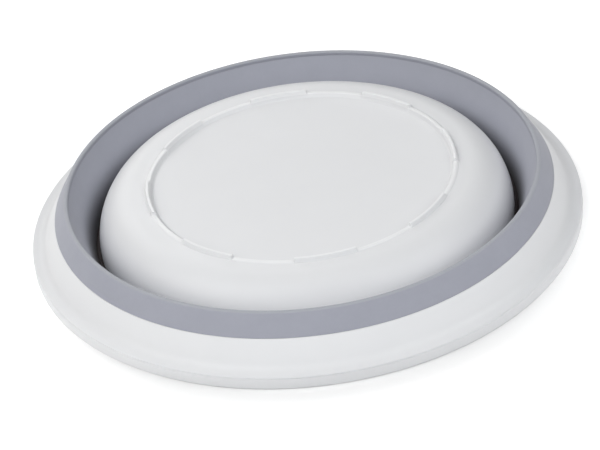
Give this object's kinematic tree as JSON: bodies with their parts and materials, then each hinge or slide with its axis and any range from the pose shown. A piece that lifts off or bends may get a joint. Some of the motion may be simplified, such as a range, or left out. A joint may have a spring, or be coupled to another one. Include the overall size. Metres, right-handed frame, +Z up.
{
  "type": "foot spa basin",
  "caption": "Round collapsible foot basin, folded flat and upside down: hard rim with a skirt and a flat flange, soft folding wall, and a shallow round-shouldered base with a foot ring.",
  "frame": {"origin": "centre of the flat rim face that the folded basin stands on, upside down", "axes": "+Z up, from the rim's flat face to the underside of the base: the part is held upside down and folded, as it is stored. In use it is turned over, so the rim's flat face is then the top. The basin is round, so +X and +Y are fixed only by the foot ring, where the middle of one raised pad is 4.75 degrees from +X towards +Y."},
  "size_m": [0.42, 0.42, 0.0456],
  "materials": {
    "hard_plastic": "satin white moulded polypropylene",
    "soft_wall": "matte blue-grey thermoplastic rubber"
  },
  "bodies": {
    "rim": {"rim_ring": "hard_plastic", "wall_outer_band": "soft_wall", "wall_fold_crest": "soft_wall"},
    "fold_band": {"wall_inner_band": "soft_wall"},
    "base": {"wall_base_bead": "soft_wall", "base_dish": "hard_plastic"}
  },
  "joints": [
    {"name": "unfold", "type": "slide", "parent": "rim", "child": "base", "axis": [0, 0, 1], "range_m": [0, 0.076]},
    {"name": "band_follow", "type": "slide", "parent": "rim", "child": "fold_band", "axis": [0, 0, 1], "range_m": [0, 0.038]}
  ],
  "couplings": [
    {"joint": "band_follow", "follows": "unfold", "ratio": 0.5}
  ]
}
